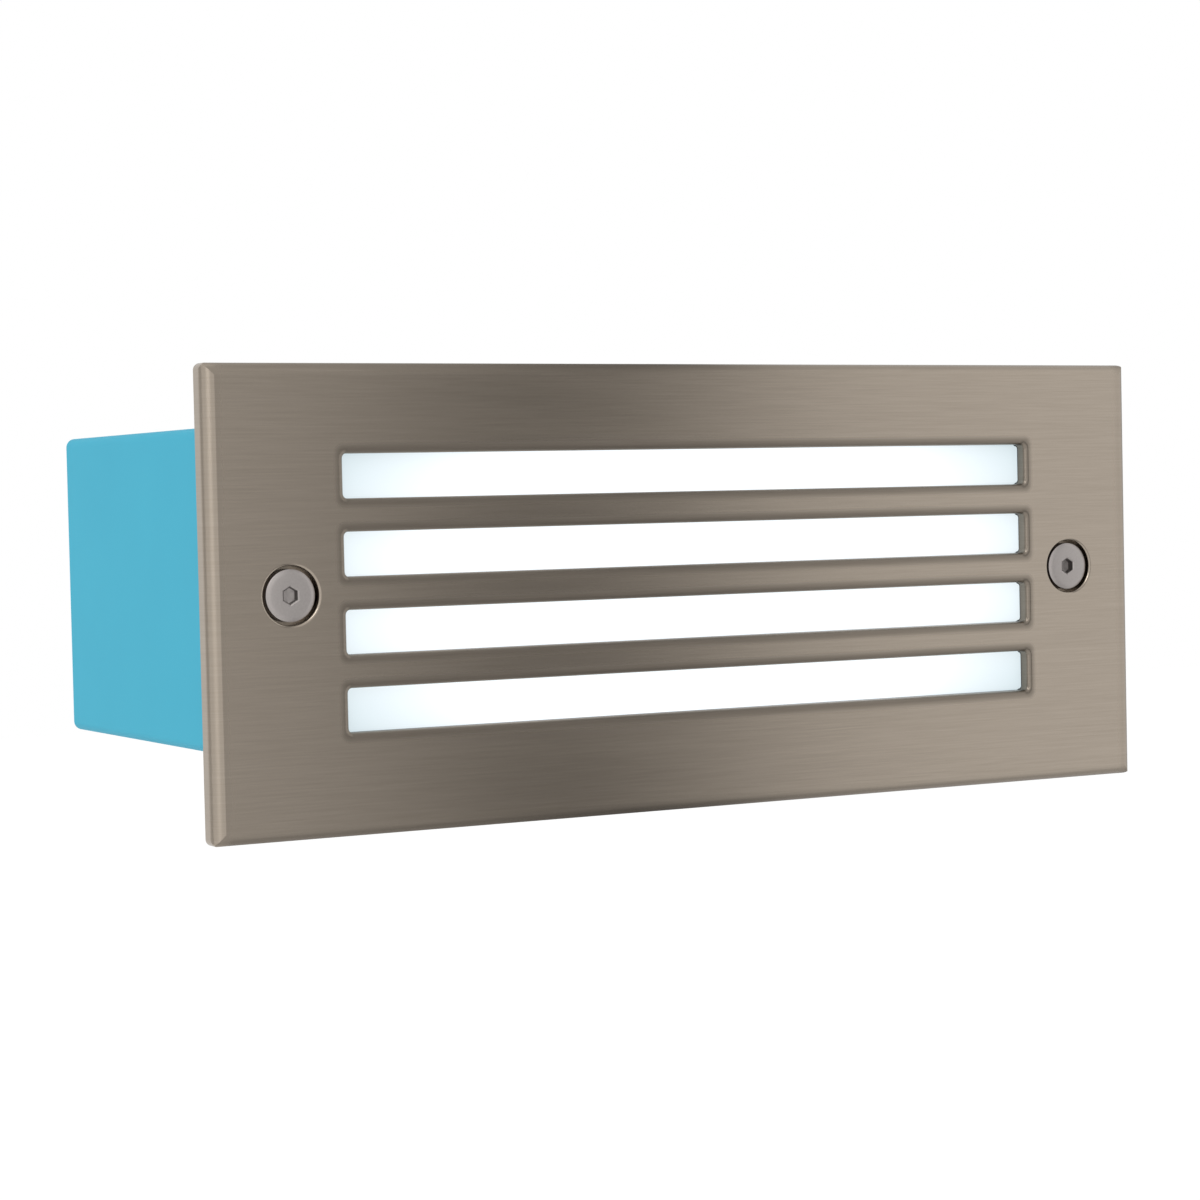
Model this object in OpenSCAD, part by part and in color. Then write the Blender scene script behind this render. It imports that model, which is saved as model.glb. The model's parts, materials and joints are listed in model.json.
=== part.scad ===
// Recessed step light for a wall or a riser: a pressed steel faceplate with light slots,
// a frosted diffuser, an LED tray with its driver, and a moulded box that sits in the wall.
// X is the width, Y runs into the wall, Z is up. The wall's face is the plane Y = 0,
// and the origin is the middle of the faceplate on that plane.

/* [Faceplate] */
// Width of the steel faceplate
plate_w = 230; // [224:1:260]
// Height of the steel faceplate
plate_h = 96; // [95:1:110]
// Depth of the rim that is turned back to the wall
rim_d = 5; // [4.8:0.1:8]
// Thickness of the steel sheet
sheet_t = 1; // [0.8:0.1:1]
// Corner radius of the faceplate, seen from the front
corner_r = 1.4; // [1.3:0.1:2]
// Radius of the pressed edge round the front face
edge_r = 2.5; // [2:0.1:3]

/* [Light slots] */
// Number of slots
slot_n = 4; // [2:1:5]
// Steel bar between two slots
slot_bar = 6.75; // [6:0.25:9]
// Steel strip above the top slot
strip_top = 18.3; // [18:0.1:20]
// Steel strip below the bottom slot
strip_bottom = 21.1; // [20.5:0.1:24]
// Steel between a slot's end and the faceplate's side
slot_margin = 29.8; // [29:0.1:34]
// Corner radius of a slot
slot_corner_r = 1; // [0.8:0.1:2.4]
// Outer radius of the rolled edge round a slot
slot_roll_r = 1.1; // [1.1:0.05:1.6]
// How far a slot's lip reaches back from the front face
slot_lip_d = 2.6; // [2.2:0.1:3.2]

/* [Cover screws] */
// Distance from the faceplate's side to a cover screw's axis
screw_edge = 17.7; // [17:0.1:19]
// Radius of the screw's thread
screw_r = 2.5; // [2:0.1:3]
// Length of the screw below its head
screw_len = 25; // [22:1:32]
// Radius of the screw's head
head_r = 5.3; // [4.4:0.1:5.6]
// Height of the screw's head
head_h = 2.6; // [2.2:0.1:3]
// Width of the bevel round the head
head_bevel = 0.6; // [0.3:0.1:1.2]
// Width across the flats of the hexagon socket
socket_af = 3; // [2.5:0.5:4]
// Depth of the hexagon socket
socket_d = 1.9; // [1.2:0.1:2.1]
// Gap between the head and the pressed cup round it
cup_gap = 0.75; // [0.4:0.05:1.2]
// How far the head sits below the front face
head_drop = 0.2; // [0:0.1:0.8]
// Thickness of the sealing washer under the head
seal_t = 0.8; // [0.5:0.1:1.2]
// Thickness of the ring that keeps the screw in the cover
ring_t = 1.2; // [0.8:0.1:1.4]
// Radius of that ring
ring_r = 4.6; // [3.6:0.1:5]

/* [Diffuser] */
// Thickness of the frosted diffuser
diffuser_t = 3; // [2:0.5:4]
// Thickness of the slotted gasket in front of the diffuser
face_gasket_t = 0.8; // [0.5:0.1:1.5]
// Gap between the diffuser and the mouth of the box
diffuser_gap = 0.6; // [0.4:0.1:0.8]
// How far the diffuser's raised bars stay behind the plate's face
bar_drop = 2.4; // [1.6:0.1:3]
// Gap round each raised bar in its slot
bar_gap = 0.35; // [0.25:0.05:0.5]
// Thickness of the clamp strips behind the diffuser
clamp_t = 1.2; // [0.8:0.1:2]
// Width of a clamp strip
clamp_w = 15; // [13:0.5:17]
// Distance from a clamp strip's end to the edge of the diffuser
clamp_inset = 5; // [3:0.5:8]
// Distance from a welded stud's axis to the end of its clamp strip
stud_edge = 6; // [4:0.5:8]
// Radius of a welded stud
stud_r = 1.5; // [1:0.25:2]

/* [Wall box] */
// Depth of the box behind the wall's face
box_d = 94; // [88:1:130]
// Distance from the faceplate's side to the side of the box
box_inset = 5; // [4.5:0.1:6]
// Distance from the top of the faceplate to the top of the box
box_inset_top = 12.4; // [11:0.1:12.6]
// Distance from the bottom of the faceplate to the bottom of the box
box_inset_bottom = 17.4; // [16:0.1:17.6]
// Wall thickness of the box
box_wall = 2.2; // [1.8:0.1:2.6]
// Wall thickness at the mouth of the box, round the diffuser
mouth_wall = 1.5; // [1:0.1:1.6]
// Depth of the mouth behind the wall's face
mouth_d = 5; // [3:0.5:8]
// Thickness of the back of the box
back_t = 2.5; // [2:0.1:4]
// Thickness of the flange that rests on the wall
flange_t = 2.4; // [2:0.1:3]
// Gap between the flange and the rim of the faceplate
flange_gap = 0.8; // [0.5:0.1:1.5]
// Outer corner radius of the box
box_corner_r = 2; // [1:0.25:4]
// Distance between the two fixing holes in the back
fixing_pitch = 120; // [80:5:130]
// Radius of a fixing hole
fixing_r = 2.5; // [2:0.25:3]
// Radius of a cable entry hole
entry_r = 10; // [8:0.5:10.5]
// Radius of the cable bore in the entry grommet
cable_r = 3.5; // [2.5:0.25:4.5]

/* [Light unit] */
// Depth of the light chamber, from the diffuser to the steel tray
chamber_d = 26.6; // [24:0.2:32]
// Thickness of the steel tray
tray_t = 1; // [0.8:0.1:1.5]
// Gap between a tray screw's boss and the top or the bottom of the box
boss_gap = 6.9; // [5:0.1:9]
// Thickness of the LED board
board_t = 1.6; // [1:0.2:2]
// LEDs along the board
led_n = 9; // [5:1:12]
// Rows of LEDs
led_rows = 2; // [1:1:3]
// Wall thickness of the white reflector
reflector_t = 1; // [0.8:0.1:1.4]

/* [Driver and wiring] */
// Room between the driver's lug and the left pillar, where the mains leads bend
driver_gap_left = 11.3; // [11:0.1:24]
// Room between the driver's lug and the right pillar, where the bushing sits
driver_gap_right = 39.3; // [39:0.1:50]
// Gap between the driver's case and the top of the box
driver_gap_top = 5.9; // [4:0.1:10]
// Gap between the driver's case and the bottom of the box
driver_gap_bottom = 17.9; // [16:0.1:24]
// Height of the driver's case, lid included
driver_h = 22; // [18:1:26]
// Wall thickness of the driver's case
driver_wall = 2; // [1.5:0.1:2.5]
// Poles of the terminal block
pole_n = 3; // [2:1:3]
// Pitch of the poles
pole_pitch = 9.5; // [8.5:0.5:10]
// Radius of a lead, over its insulation
lead_r = 0.9; // [0.6:0.1:1]

/* [Hidden] */
$fn = 48;

// Extra length of every cutting tool past the face that it cuts
over = 1;
// Radial clearance of a screw or pin in its hole
fit = 0.05;
// Loose clearance of a piece in a pocket
ease = 0.1;

// Places across the width and the height
plate_x = plate_w / 2;
screw_x = plate_x - screw_edge;
slot_w = plate_w - 2 * slot_margin;
pattern_h = plate_h - strip_top - strip_bottom;
pattern_z = (strip_bottom - strip_top) / 2;
slot_h = (pattern_h - (slot_n - 1) * slot_bar) / slot_n;
slot_pitch = slot_h + slot_bar;
box_w = plate_w - 2 * box_inset;
box_h = plate_h - box_inset_top - box_inset_bottom;
box_z = (box_inset_bottom - box_inset_top) / 2;
inner_w = box_w - 2 * box_wall;
inner_h = box_h - 2 * box_wall;
inner_x = inner_w / 2;
mouth_w = box_w - 2 * mouth_wall;
mouth_h = box_h - 2 * mouth_wall;
diffuser_w = mouth_w - 2 * diffuser_gap;
diffuser_h = mouth_h - 2 * diffuser_gap;
clamp_h = diffuser_h - 2 * clamp_inset;
stud_z = clamp_h / 2 - stud_edge;
sides = [-1, 1];

// Places in depth, from the front face to the back of the cover
front_y = -rim_d;
sheet_y = front_y + sheet_t;
lip_y = front_y + slot_lip_d;
face_gasket_y = lip_y + face_gasket_t;
diffuser_y = face_gasket_y + diffuser_t;
clamp_y = diffuser_y + clamp_t;
stud_washer_t = 0.5;
stud_washer_r = 3.5;
nut_t = 2.4;
nut_af = 5.5;
nut_y = clamp_y + stud_washer_t + nut_t;
stud_end_y = nut_y + nut_t / 3;

// The cover screw, its cup in the faceplate and its insert in the box
cup_r = head_r + cup_gap;
cup_edge_r = sheet_t / 2;
cup_outer_r = cup_r + sheet_t;
cup_hole_r = screw_r + fit + ease;
head_y = front_y + head_drop;
seat_y = head_y + head_h;
cup_floor_y = seat_y + seal_t;
cup_back_y = cup_floor_y + sheet_t;
tip_y = seat_y + screw_len;
insert_l = 10;
insert_r = 3.5;
insert_flange_r = 4.5;
insert_flange_t = 0.8;
tip_over = 0.6;
insert_y = tip_y - tip_over - insert_l;
release = tip_y - insert_y;
ring_y = cup_back_y + release + ease;
pillar_y = insert_y + insert_flange_t;
pillar_r = 7;
cup_clear_r = cup_outer_r + 3 * ease;
web_t = 3;

// Places in the box
back_y = box_d - back_t;
rim_gasket_lap = 5;
rim_gasket_inset = 1;
flange_w = plate_w - 2 * (sheet_t + flange_gap);
flange_h = box_h + 2 * (box_inset_top - sheet_t) - 2 * flange_gap;
flange_corner_r = box_corner_r;
boss_r = 4;
tray_screw_z = inner_h / 2 - boss_gap - boss_r;
grommet_lap = 2.5;
grommet_flange_r = entry_r + grommet_lap;
grommet_flange_t = 1.5;
grommet_cone_l = 6;
entry_gap = 5;
entry_x = screw_x - pillar_r - grommet_flange_r - entry_gap;
entry_floor_gap = 4.4;
entry_drop = inner_h / 2 - entry_floor_gap - grommet_flange_r;
entry_z = box_z - entry_drop;
fixing_z = box_z + entry_drop;

// The light unit
tray_y = diffuser_y + chamber_d;
tray_back_y = tray_y + tray_t;
tray_gap = 1;
tray_w = inner_w - 2 * tray_gap;
tray_h = inner_h - 3 * tray_gap;
tray_fold = 8;
tray_fold_w = 2 * (screw_x - boss_r - 3 * web_t);
tray_screw_r = 1.75;
tray_screw_l = 10;
tray_corner_r = 2;
pan_head_r = 3.2;
pan_head_h = 2;
board_y = tray_y - board_t;
reflector_gap = 1;
reflector_front_y = diffuser_y + reflector_gap;
reflector_floor_y = board_y - reflector_t;
reflector_reach = 3;
reflector_w = slot_w + 2 * reflector_reach;
reflector_h = inner_h - 3 * reflector_gap;
reflector_taper = 8;
reflector_base_w = reflector_w - reflector_taper;
reflector_base_h = reflector_h - reflector_taper;
board_w = reflector_base_w - 2 * reflector_t;
board_h = reflector_base_h - 2 * reflector_t;
led_pitch = board_w / led_n;
led_row_pitch = board_h / (led_rows + 1);
led_size = 3;
led_h = 0.7;
led_hole_r = 3.2;
reflector_screw_r = 1.5;
reflector_screw_n = 3;
reflector_screw_l = reflector_t + board_t + tray_t - ease;

// The driver behind the tray
driver_lug_l = 10;
driver_span = 2 * (screw_x - pillar_r) - driver_gap_left - driver_gap_right;
driver_l = driver_span - 2 * driver_lug_l - driver_wall;
driver_w = inner_h - driver_gap_top - driver_gap_bottom;
driver_x = (driver_gap_left - driver_gap_right) / 2;
driver_z = box_z + (driver_gap_bottom - driver_gap_top) / 2;
driver_corner_r = 3;
driver_lid_t = driver_wall;
driver_back_y = tray_back_y + driver_h;
driver_lid_y = driver_back_y - driver_lid_t;
driver_lug_t = 2.5;
driver_screw_r = 1.75;
driver_screw_x = (driver_l + driver_lug_l) / 2;
driver_pad_h = 1.5;
driver_pad = 5;
driver_board_y = tray_back_y + driver_wall + driver_pad_h;
driver_inner_l = driver_l - 2 * driver_wall;
driver_inner_w = driver_w - 2 * driver_wall;
lid_clear = 2.9;
transformer_y = driver_board_y + board_t;
transformer_l = driver_inner_l / 5;
transformer_w = driver_inner_w / 2;
transformer_h = driver_lid_y - lid_clear - transformer_y;
core_lap = 3;
capacitor_r = 4.5;
capacitor_x = (driver_inner_l + transformer_l) / 4;
lead_hole_r = lead_r + 3 * ease;
lead_gap = 2.6;
driver_lead_y = driver_board_y + board_t + 2 * lead_gap;

// The terminal block and the cord clamp on the back of the box
pad_h = 3;
terminal_w = pole_n * pole_pitch;
terminal_h = 19;
terminal_d = 13;
terminal_z = entry_z;
terminal_back_y = back_y - pad_h;
terminal_y = terminal_back_y - terminal_d;
barrel_w = 5.5;
barrel_l = 15;
barrel_bore_r = 1.6;
barrel_depth = 6;
barrel_y = terminal_back_y - barrel_depth;
pole_screw_r = 1.25;
pole_screw_z = 4.5;
pole_screw_l = 5.5;
pole_access_r = 2;
fixing_screw_r = 1.25;
clamp_post_r = 3.5;
clamp_post_h = 9;
clamp_post_z = 8.5;
clamp_bar_t = 3;
clamp_bar_w = 8;
clamp_head_share = 0.8;
cord_clamp_run = 19;
cord_clamp_x = cord_clamp_run - entry_x;
terminal_gap = 19.5;
terminal_x = cord_clamp_x + (clamp_bar_w + terminal_w) / 2 + terminal_gap;
clamp_post_y = back_y - clamp_post_h;
clamp_bar_y = clamp_post_y - clamp_bar_t;

// The bushing where the LED leads pass the tray
bushing_gap = 8.5;
bushing_r = 5;
bushing_flange_r = 6.5;
bushing_x = driver_x + driver_span / 2 + bushing_gap + bushing_flange_r;
bushing_z = driver_z;
bushing_flange_t = 1.2;
bushing_bore_r = 3.4;

// Lays a flat shape, drawn as width by height, between two depths
module slab(y0, y1) {
    translate([0, y1, 0]) rotate([90, 0, 0]) linear_extrude(y1 - y0) children();
}

// Turns a profile, drawn as radius by depth, about a line that runs into the wall
module turned(x = 0, z = 0) {
    translate([x, 0, z]) rotate([-90, 0, 0]) rotate_extrude() children();
}

// A rectangle with round corners, about its middle
module round_rect(w, h, r) {
    square([w - 2 * r, h], center = true);
    square([w, h - 2 * r], center = true);
    for (x = sides, z = sides) translate([x * (w / 2 - r), z * (h / 2 - r)]) circle(r);
}

// Carries a profile, drawn as distance by depth, once round a rectangle with round corners.
// The distance is counted outwards from the middle of the corner arcs.
module round_frame(w, h, r) {
    x = w / 2 - r;
    z = h / 2 - r;
    corners = [[x, -z], [x, z], [-x, z], [-x, -z]];
    for (i = [0 : 3])
        translate([corners[i][0], 0, corners[i][1]]) rotate([0, -90 * i, 0]) rotate([-90, 0, 0])
            rotate_extrude(angle = 90) children();
    for (side = [0, 1]) {
        mirror([side, 0, 0]) translate([x, 0, -z]) linear_extrude(2 * z) children();
        mirror([0, 0, side]) translate([x, 0, z]) rotate([0, -90, 0]) linear_extrude(2 * x) children();
    }
}

// The height of each slot's middle
function slot_z(i) = pattern_z + (i - (slot_n - 1) / 2) * slot_pitch;

// A place for each slot, grown by a margin on every side
module slot_shapes(grow = 0) {
    for (i = [0 : slot_n - 1])
        translate([0, slot_z(i)]) round_rect(slot_w + 2 * grow, slot_h + 2 * grow, slot_corner_r + grow);
}

module at_screws() {
    for (s = sides) translate([s * screw_x, pattern_z]) children();
}

module at_studs() {
    for (s = sides, t = sides) translate([s * screw_x, pattern_z + t * stud_z]) children();
}

module at_tray_screws() {
    for (s = sides, t = sides) translate([s * screw_x, box_z + t * tray_screw_z]) children();
}

// The place along the tray of each reflector screw, spaced in whole LED pitches
function reflector_screw_x(i) =
    (i - (reflector_screw_n - 1) / 2) * led_pitch * floor(led_n / reflector_screw_n);

module at_reflector_screws() {
    for (i = [0 : reflector_screw_n - 1]) translate([reflector_screw_x(i), box_z]) children();
}

module at_leds() {
    for (i = [0 : led_n - 1], j = [1 : led_rows])
        translate([(i - (led_n - 1) / 2) * led_pitch, box_z + (j - (led_rows + 1) / 2) * led_row_pitch])
            children();
}

// The place across the terminal block of each pole
function pole_x(i) = terminal_x + (i - (pole_n - 1) / 2) * pole_pitch;

module at_poles() {
    for (i = [0 : pole_n - 1]) translate([pole_x(i), terminal_z]) children();
}

module at_terminal_fixings() {
    for (s = sides) translate([terminal_x + s * pole_pitch / 2, terminal_z]) children();
}

module at_clamp_posts() {
    for (s = sides) translate([cord_clamp_x, entry_z + s * clamp_post_z]) children();
}

// A pan-head screw with a cross recess, whose head faces the room
module pan_screw(seat, r, l, head_scale = 1) {
    hr = pan_head_r * head_scale;
    hh = pan_head_h * head_scale;
    difference() {
        union() {
            slab(seat - hh, seat) circle(hr);
            slab(seat, seat + l) circle(r);
        }
        slab(seat - hh - over, seat - hh / 2) {
            square([hr, hr / 4], center = true);
            square([hr / 4, hr], center = true);
        }
    }
}

// A quarter of a bent sheet's cross-section, whose outside faces the room
module bend_profile(r) {
    difference() {
        circle(r);
        circle(r - sheet_t);
        translate([-r, 0]) square([2 * r, r]);
        translate([-r, -r]) square([r, 2 * r]);
    }
}

// The cross-section of a tray with bent sides, drawn as width by depth
module pan_profile(w, y0, y1, r) {
    translate([-w / 2 + r, y0]) square([w - 2 * r, y1 - y0]);
    translate([-w / 2, y0 + r]) square([w, y1 - y0 - r]);
    for (s = sides) translate([s * (w / 2 - r), y0 + r]) circle(r);
}

// A tray's whole shape: bends along all four sides, which meet in mitres
module pan(w, h, y0, y1, r) {
    intersection() {
        linear_extrude(h, center = true) pan_profile(w, y0, y1, r);
        rotate([0, 90, 0]) linear_extrude(w, center = true) pan_profile(h, y0, y1, r);
    }
}

// The cross-section of the rolled edge and lip round a slot
module lip_profile() {
    translate([slot_corner_r + slot_roll_r, front_y + slot_roll_r]) mirror([1, 0]) bend_profile(slot_roll_r);
    translate([slot_corner_r, front_y + slot_roll_r]) square([sheet_t, slot_lip_d - slot_roll_r]);
}

// The cross-section of the cup that a cover screw's head sits in
module cup_profile() {
    translate([cup_r, front_y + cup_edge_r]) square([sheet_t, cup_back_y - front_y - cup_edge_r]);
    translate([cup_r + cup_edge_r, front_y]) square([sheet_t - cup_edge_r, cup_edge_r]);
    translate([cup_r + cup_edge_r, front_y + cup_edge_r]) circle(cup_edge_r);
    translate([cup_hole_r, cup_floor_y]) square([cup_r - cup_hole_r, sheet_t]);
}

module faceplate() {
    color("#9a8f82") {
        difference() {
            intersection() {
                pan(plate_w, plate_h, front_y, 0, edge_r);
                slab(front_y, 0) round_rect(plate_w, plate_h, corner_r);
            }
            pan(plate_w - 2 * sheet_t, plate_h - 2 * sheet_t, sheet_y, over, edge_r - sheet_t);
            slab(front_y - over, 0) {
                slot_shapes(slot_roll_r);
                at_screws() circle(cup_outer_r);
            }
        }
        for (i = [0 : slot_n - 1])
            translate([0, 0, slot_z(i)]) round_frame(slot_w, slot_h, slot_corner_r) lip_profile();
        for (s = sides) turned(s * screw_x, pattern_z) cup_profile();
    }
}

module weld_studs() {
    color("#b0a89c") slab(sheet_y, stud_end_y) at_studs() circle(stud_r);
}

// The outline of the diffuser and its gasket, with room for the cups and the studs
module diffuser_outline() {
    difference() {
        translate([0, box_z]) round_rect(diffuser_w, diffuser_h, box_corner_r / 2);
        at_screws() circle(cup_clear_r);
        at_studs() circle(stud_r + 3 * ease);
    }
}

module face_gasket() {
    color("#34363a") slab(lip_y, face_gasket_y) difference() {
        diffuser_outline();
        slot_shapes();
    }
}

// The diffuser: a plate with a raised bar that stands in each slot
module diffuser() {
    color("#f4fbff") {
        slab(face_gasket_y, diffuser_y) diffuser_outline();
        slab(front_y + bar_drop, face_gasket_y + diffuser_t / 2) slot_shapes(-bar_gap);
    }
}

module clamp_strips() {
    color("#c4c6c8") slab(diffuser_y, clamp_y) difference() {
        at_screws() round_rect(clamp_w, clamp_h, box_corner_r);
        at_screws() circle(ring_r + 3 * ease);
        at_studs() circle(stud_r + ease);
    }
}

module clamp_washers() {
    color("#c9ccd0") slab(clamp_y, clamp_y + stud_washer_t) difference() {
        at_studs() circle(stud_washer_r);
        at_studs() circle(stud_r + ease);
    }
}

module clamp_nuts() {
    color("#c9ccd0") slab(clamp_y + stud_washer_t, nut_y) difference() {
        at_studs() circle(nut_af / sqrt(3), $fn = 6);
        at_studs() circle(stud_r + fit);
    }
}

module rim_gasket() {
    color("#2b2d30") slab(sheet_y, -flange_t) translate([0, box_z]) difference() {
        round_rect(flange_w - 2 * rim_gasket_inset, mouth_h + 2 * rim_gasket_lap, box_corner_r);
        round_rect(mouth_w, mouth_h, box_corner_r / 2);
    }
}

module cover_screw(s) {
    color("#8f8583") translate([s * screw_x, 0, pattern_z]) difference() {
        turned() {
            translate([0, head_y]) square([head_r - head_bevel, head_h]);
            translate([0, head_y + head_bevel / 2]) square([head_r, head_h - head_bevel / 2]);
            polygon([
                [head_r - head_bevel, head_y],
                [head_r, head_y + head_bevel / 2],
                [head_r - head_bevel, head_y + head_bevel / 2]
            ]);
            translate([0, seat_y]) square([screw_r, screw_len]);
        }
        slab(head_y - over, head_y + socket_d) rotate(30) circle(socket_af / sqrt(3), $fn = 6);
    }
}

module cover_screw_left() {
    cover_screw(-1);
}

module cover_screw_right() {
    cover_screw(1);
}

// The sealing washer that is squeezed between the head and its cup
module seal_washer(s) {
    color("#3a3c40") turned(s * screw_x, pattern_z) translate([screw_r + fit, seat_y])
        square([head_r - screw_r - fit, seal_t]);
}

module seal_washer_left() {
    seal_washer(-1);
}

module seal_washer_right() {
    seal_washer(1);
}

// The ring that stays on the screw behind its cup, so that the screw can't fall out
module keeper_ring(s) {
    color("#ece8dc") turned(s * screw_x, pattern_z) translate([screw_r + fit, ring_y])
        square([ring_r - screw_r - fit, ring_t]);
}

module keeper_ring_left() {
    keeper_ring(-1);
}

module keeper_ring_right() {
    keeper_ring(1);
}

// A round post on the back of the box, with a web to the side wall
module side_post(s, x, z, r) {
    translate([s * x, z]) circle(r);
    reach = inner_x + box_wall / 2 - x;
    translate([s * (x + reach / 2), z]) square([reach, web_t], center = true);
}

module box_shell() {
    difference() {
        union() {
            slab(-flange_t, 0) round_rect(flange_w, flange_h, flange_corner_r);
            translate([0, 0, box_z]) slab(-flange_t, box_d) round_rect(box_w, box_h, box_corner_r);
        }
        translate([0, 0, box_z]) {
            slab(-flange_t - over, mouth_d) round_rect(mouth_w, mouth_h, box_corner_r / 2);
            slab(mouth_d - over, back_y) round_rect(inner_w, inner_h, box_corner_r / 2);
        }
    }
}

module back_box() {
    color("#52b2cf") difference() {
        union() {
            box_shell();
            for (s = sides) {
                slab(pillar_y, back_y + back_t / 2) side_post(s, screw_x, pattern_z, pillar_r);
                for (t = sides)
                    slab(tray_back_y, back_y + back_t / 2)
                        side_post(s, screw_x, box_z + t * tray_screw_z, boss_r);
            }
            slab(terminal_back_y, back_y + back_t / 2) translate([terminal_x, terminal_z])
                square([terminal_w, terminal_h], center = true);
            slab(clamp_post_y, back_y + back_t / 2) at_clamp_posts() circle(clamp_post_r);
        }
        slab(pillar_y - over, insert_y + insert_l + ease) at_screws() circle(insert_r + fit);
        slab(pillar_y - over, tip_y + 2 * tip_over) at_screws() circle(screw_r + 3 * ease);
        slab(tray_back_y - over, tray_back_y + tray_screw_l) at_tray_screws() circle(tray_screw_r + fit);
        slab(back_y - over, box_d + over) {
            for (s = sides) {
                translate([s * entry_x, entry_z]) circle(entry_r);
                translate([s * fixing_pitch / 2, fixing_z]) circle(fixing_r);
            }
        }
        slab(terminal_back_y - over, back_y + back_t / 2) at_terminal_fixings() circle(fixing_screw_r + fit);
        slab(clamp_post_y - over, back_y) at_clamp_posts() circle(fixing_screw_r + fit);
    }
}

module screw_inserts() {
    color("#c9a24b") difference() {
        union() {
            slab(insert_y, pillar_y) at_screws() circle(insert_flange_r);
            slab(insert_y, insert_y + insert_l) at_screws() circle(insert_r);
        }
        slab(insert_y - over, insert_y + insert_l + over) at_screws() circle(screw_r + fit);
    }
}

// The body of a rubber seal in a cable entry: a flange each side of the wall and a tapered nose
module entry_body(nose) {
    neck_r = entry_r - ease;
    nose_y = back_y - grommet_flange_t;
    polygon([
        [0, box_d + grommet_flange_t],
        [grommet_flange_r, box_d + grommet_flange_t],
        [grommet_flange_r, box_d],
        [neck_r, box_d],
        [neck_r, back_y],
        [grommet_flange_r, back_y],
        [grommet_flange_r, nose_y],
        [entry_r - grommet_flange_t, nose_y],
        [cable_r + grommet_flange_t, nose_y - nose],
        [0, nose_y - nose]
    ]);
}

module cable_grommet() {
    color("#26282b") difference() {
        turned(-entry_x, entry_z) entry_body(grommet_cone_l);
        slab(back_y - grommet_flange_t - grommet_cone_l - over, box_d + grommet_flange_t + over)
            translate([-entry_x, entry_z]) circle(cable_r);
    }
}

module blanking_plug() {
    color("#26282b") turned(entry_x, entry_z) entry_body(grommet_flange_t);
}

module gear_tray() {
    color("#f2f2ee") difference() {
        union() {
            slab(tray_y, tray_back_y) translate([0, box_z]) round_rect(tray_w, tray_h, tray_corner_r);
            for (t = sides)
                slab(tray_y, tray_y + tray_fold) translate([0, box_z + t * (tray_h - tray_t) / 2])
                    square([tray_fold_w, tray_t], center = true);
        }
        slab(tray_y - over, tray_back_y + over) {
            for (s = sides) translate([s * (screw_x + pillar_r), pattern_z])
                square([4 * pillar_r + 2 * tray_gap, 2 * (pillar_r + tray_gap)], center = true);
            at_tray_screws() circle(tray_screw_r + ease);
            at_reflector_screws() circle(reflector_screw_r + fit);
            translate([bushing_x, bushing_z]) circle(bushing_r);
            for (s = sides) translate([driver_x + s * driver_screw_x, driver_z]) circle(driver_screw_r + fit);
        }
    }
}

module tray_screws() {
    color("#b9bcc0") for (s = sides, t = sides)
        translate([s * screw_x, 0, box_z + t * tray_screw_z])
            pan_screw(tray_y, tray_screw_r, tray_screw_l - tray_t);
}

module tray_bushing() {
    color("#2b2d30") difference() {
        union() {
            slab(tray_y, tray_back_y) translate([bushing_x, bushing_z]) circle(bushing_r - ease);
            slab(tray_back_y, tray_back_y + bushing_flange_t)
                translate([bushing_x, bushing_z]) circle(bushing_flange_r);
        }
        slab(tray_y - over, tray_back_y + bushing_flange_t + over)
            translate([bushing_x, bushing_z]) circle(bushing_bore_r);
    }
}

module led_board() {
    color("#f7f7f3") slab(board_y, tray_y) difference() {
        translate([0, box_z]) round_rect(board_w, board_h, tray_corner_r);
        at_reflector_screws() circle(reflector_screw_r + ease);
    }
}

module led_chips() {
    color("#f5d76e") slab(board_y - led_h, board_y) at_leds() square(led_size, center = true);
}

// A tapered block that narrows from the front of the reflector to its floor
module reflector_block(grow, y0, y1) {
    translate([0, 0, box_z]) hull() {
        slab(y0, y0 + ease) square([reflector_w + 2 * grow, reflector_h + 2 * grow], center = true);
        slab(y1 - ease, y1) square([reflector_base_w + 2 * grow, reflector_base_h + 2 * grow], center = true);
    }
}

module reflector() {
    color("#fbfbf8") difference() {
        reflector_block(0, reflector_front_y, board_y);
        reflector_block(-reflector_t, reflector_front_y - ease, reflector_floor_y);
        slab(reflector_floor_y - over, board_y + over) {
            at_leds() circle(led_hole_r);
            at_reflector_screws() circle(reflector_screw_r + ease);
        }
    }
}

module reflector_screws() {
    color("#b9bcc0") for (i = [0 : reflector_screw_n - 1])
        translate([reflector_screw_x(i), 0, box_z])
            pan_screw(reflector_floor_y, reflector_screw_r, reflector_screw_l);
}

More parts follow.
